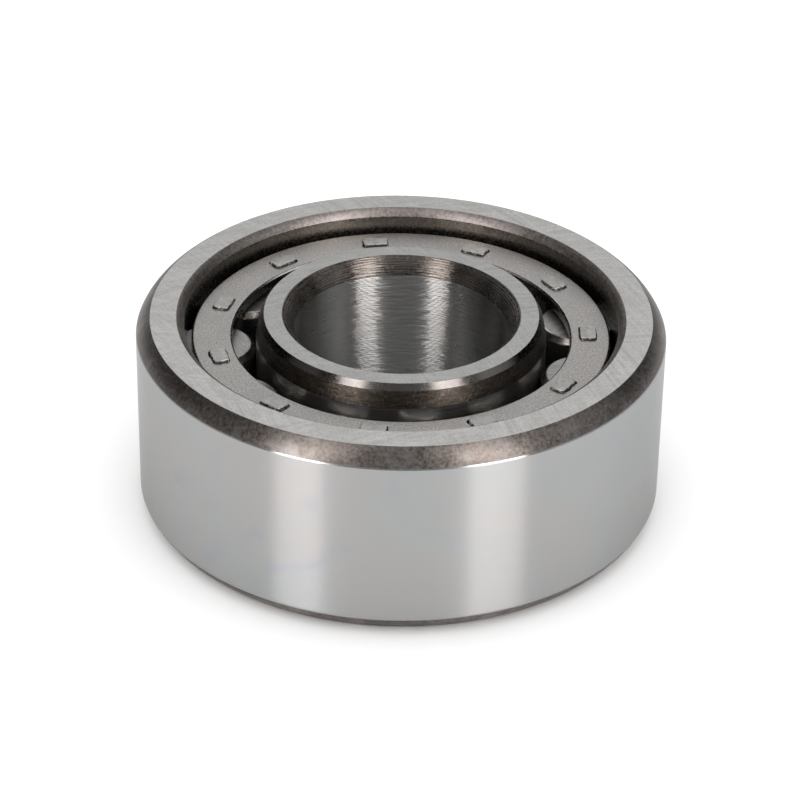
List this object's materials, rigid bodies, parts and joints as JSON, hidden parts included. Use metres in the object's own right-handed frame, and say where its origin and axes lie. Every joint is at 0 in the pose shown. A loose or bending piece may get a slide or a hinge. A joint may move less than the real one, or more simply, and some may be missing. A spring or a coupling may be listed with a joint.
{
  "type": "cylindrical roller bearing",
  "caption": "Open cylindrical roller bearing: ribbed outer ring, plain separable inner ring, and rollers in a riveted two-plate steel cage.",
  "frame": {"origin": "centre of the bearing, on its axis of rotation, half way between its faces", "axes": "+Z along the axis of rotation, towards the face that shows the cage's top plate; +X through the head of cage_bar_01, 0.6 degrees off its middle"},
  "size_m": [0.062, 0.062, 0.024],
  "materials": {
    "outer_ring_steel": "ground faces and outside, brown oxide on the turned chamfers and rib bores",
    "inner_ring_steel": "ground faces, bore and raceway, brown oxide on the lead-in tapers",
    "cage_plate_steel": "matt, fine grained",
    "cage_bar_steel": "matt, with roughly upset heads",
    "roller_steel": "ground and bright"
  },
  "bodies": {
    "outer_ring": {"outer_ring": "outer_ring_steel"},
    "inner_ring": {"inner_ring": "inner_ring_steel"},
    "cage": {"cage_top_plate": "cage_plate_steel", "cage_bottom_plate": "cage_plate_steel", "cage_bar_01": "cage_bar_steel", "cage_bar_02": "cage_bar_steel", "cage_bar_03": "cage_bar_steel", "cage_bar_04": "cage_bar_steel", "cage_bar_05": "cage_bar_steel", "cage_bar_06": "cage_bar_steel", "cage_bar_07": "cage_bar_steel", "cage_bar_08": "cage_bar_steel", "cage_bar_09": "cage_bar_steel", "cage_bar_10": "cage_bar_steel", "cage_bar_11": "cage_bar_steel"},
    "roller_01": {"roller_01": "roller_steel"},
    "roller_02": {"roller_02": "roller_steel"},
    "roller_03": {"roller_03": "roller_steel"},
    "roller_04": {"roller_04": "roller_steel"},
    "roller_05": {"roller_05": "roller_steel"},
    "roller_06": {"roller_06": "roller_steel"},
    "roller_07": {"roller_07": "roller_steel"},
    "roller_08": {"roller_08": "roller_steel"},
    "roller_09": {"roller_09": "roller_steel"},
    "roller_10": {"roller_10": "roller_steel"},
    "roller_11": {"roller_11": "roller_steel"}
  },
  "joints": [
    {"name": "inner_ring_spin", "type": "hinge", "parent": "outer_ring", "child": "inner_ring", "pos_m": [0, 0, 0], "axis": [0, 0, 1], "continuous": true},
    {"name": "cage_spin", "type": "hinge", "parent": "outer_ring", "child": "cage", "pos_m": [0, 0, 0], "axis": [0, 0, 1], "continuous": true},
    {"name": "roller_01_spin", "type": "hinge", "parent": "cage", "child": "roller_01", "pos_m": [0.02104, 0.00643, 0], "axis": [0, 0, 1], "continuous": true},
    {"name": "roller_02_spin", "type": "hinge", "parent": "cage", "child": "roller_02", "pos_m": [0.01422, 0.01679, 0], "axis": [0, 0, 1], "continuous": true},
    {"name": "roller_03_spin", "type": "hinge", "parent": "cage", "child": "roller_03", "pos_m": [0.00289, 0.02181, 0], "axis": [0, 0, 1], "continuous": true},
    {"name": "roller_04_spin", "type": "hinge", "parent": "cage", "child": "roller_04", "pos_m": [-0.00936, 0.01991, 0], "axis": [0, 0, 1], "continuous": true},
    {"name": "roller_05_spin", "type": "hinge", "parent": "cage", "child": "roller_05", "pos_m": [-0.01864, 0.01169, 0], "axis": [0, 0, 1], "continuous": true},
    {"name": "roller_06_spin", "type": "hinge", "parent": "cage", "child": "roller_06", "pos_m": [-0.022, -0.00024, 0], "axis": [0, 0, 1], "continuous": true},
    {"name": "roller_07_spin", "type": "hinge", "parent": "cage", "child": "roller_07", "pos_m": [-0.01837, -0.0121, 0], "axis": [0, 0, 1], "continuous": true},
    {"name": "roller_08_spin", "type": "hinge", "parent": "cage", "child": "roller_08", "pos_m": [-0.00892, -0.02011, 0], "axis": [0, 0, 1], "continuous": true},
    {"name": "roller_09_spin", "type": "hinge", "parent": "cage", "child": "roller_09", "pos_m": [0.00337, -0.02174, 0], "axis": [0, 0, 1], "continuous": true},
    {"name": "roller_10_spin", "type": "hinge", "parent": "cage", "child": "roller_10", "pos_m": [0.01459, -0.01647, 0], "axis": [0, 0, 1], "continuous": true},
    {"name": "roller_11_spin", "type": "hinge", "parent": "cage", "child": "roller_11", "pos_m": [0.02118, -0.00596, 0], "axis": [0, 0, 1], "continuous": true}
  ],
  "couplings": [
    {"joint": "cage_spin", "follows": "inner_ring_spin", "ratio": 0.38636},
    {"joint": "roller_01_spin", "follows": "inner_ring_spin", "ratio": -2.0864},
    {"joint": "roller_02_spin", "follows": "inner_ring_spin", "ratio": -2.0864},
    {"joint": "roller_03_spin", "follows": "inner_ring_spin", "ratio": -2.0864},
    {"joint": "roller_04_spin", "follows": "inner_ring_spin", "ratio": -2.0864},
    {"joint": "roller_05_spin", "follows": "inner_ring_spin", "ratio": -2.0864},
    {"joint": "roller_06_spin", "follows": "inner_ring_spin", "ratio": -2.0864},
    {"joint": "roller_07_spin", "follows": "inner_ring_spin", "ratio": -2.0864},
    {"joint": "roller_08_spin", "follows": "inner_ring_spin", "ratio": -2.0864},
    {"joint": "roller_09_spin", "follows": "inner_ring_spin", "ratio": -2.0864},
    {"joint": "roller_10_spin", "follows": "inner_ring_spin", "ratio": -2.0864},
    {"joint": "roller_11_spin", "follows": "inner_ring_spin", "ratio": -2.0864}
  ]
}
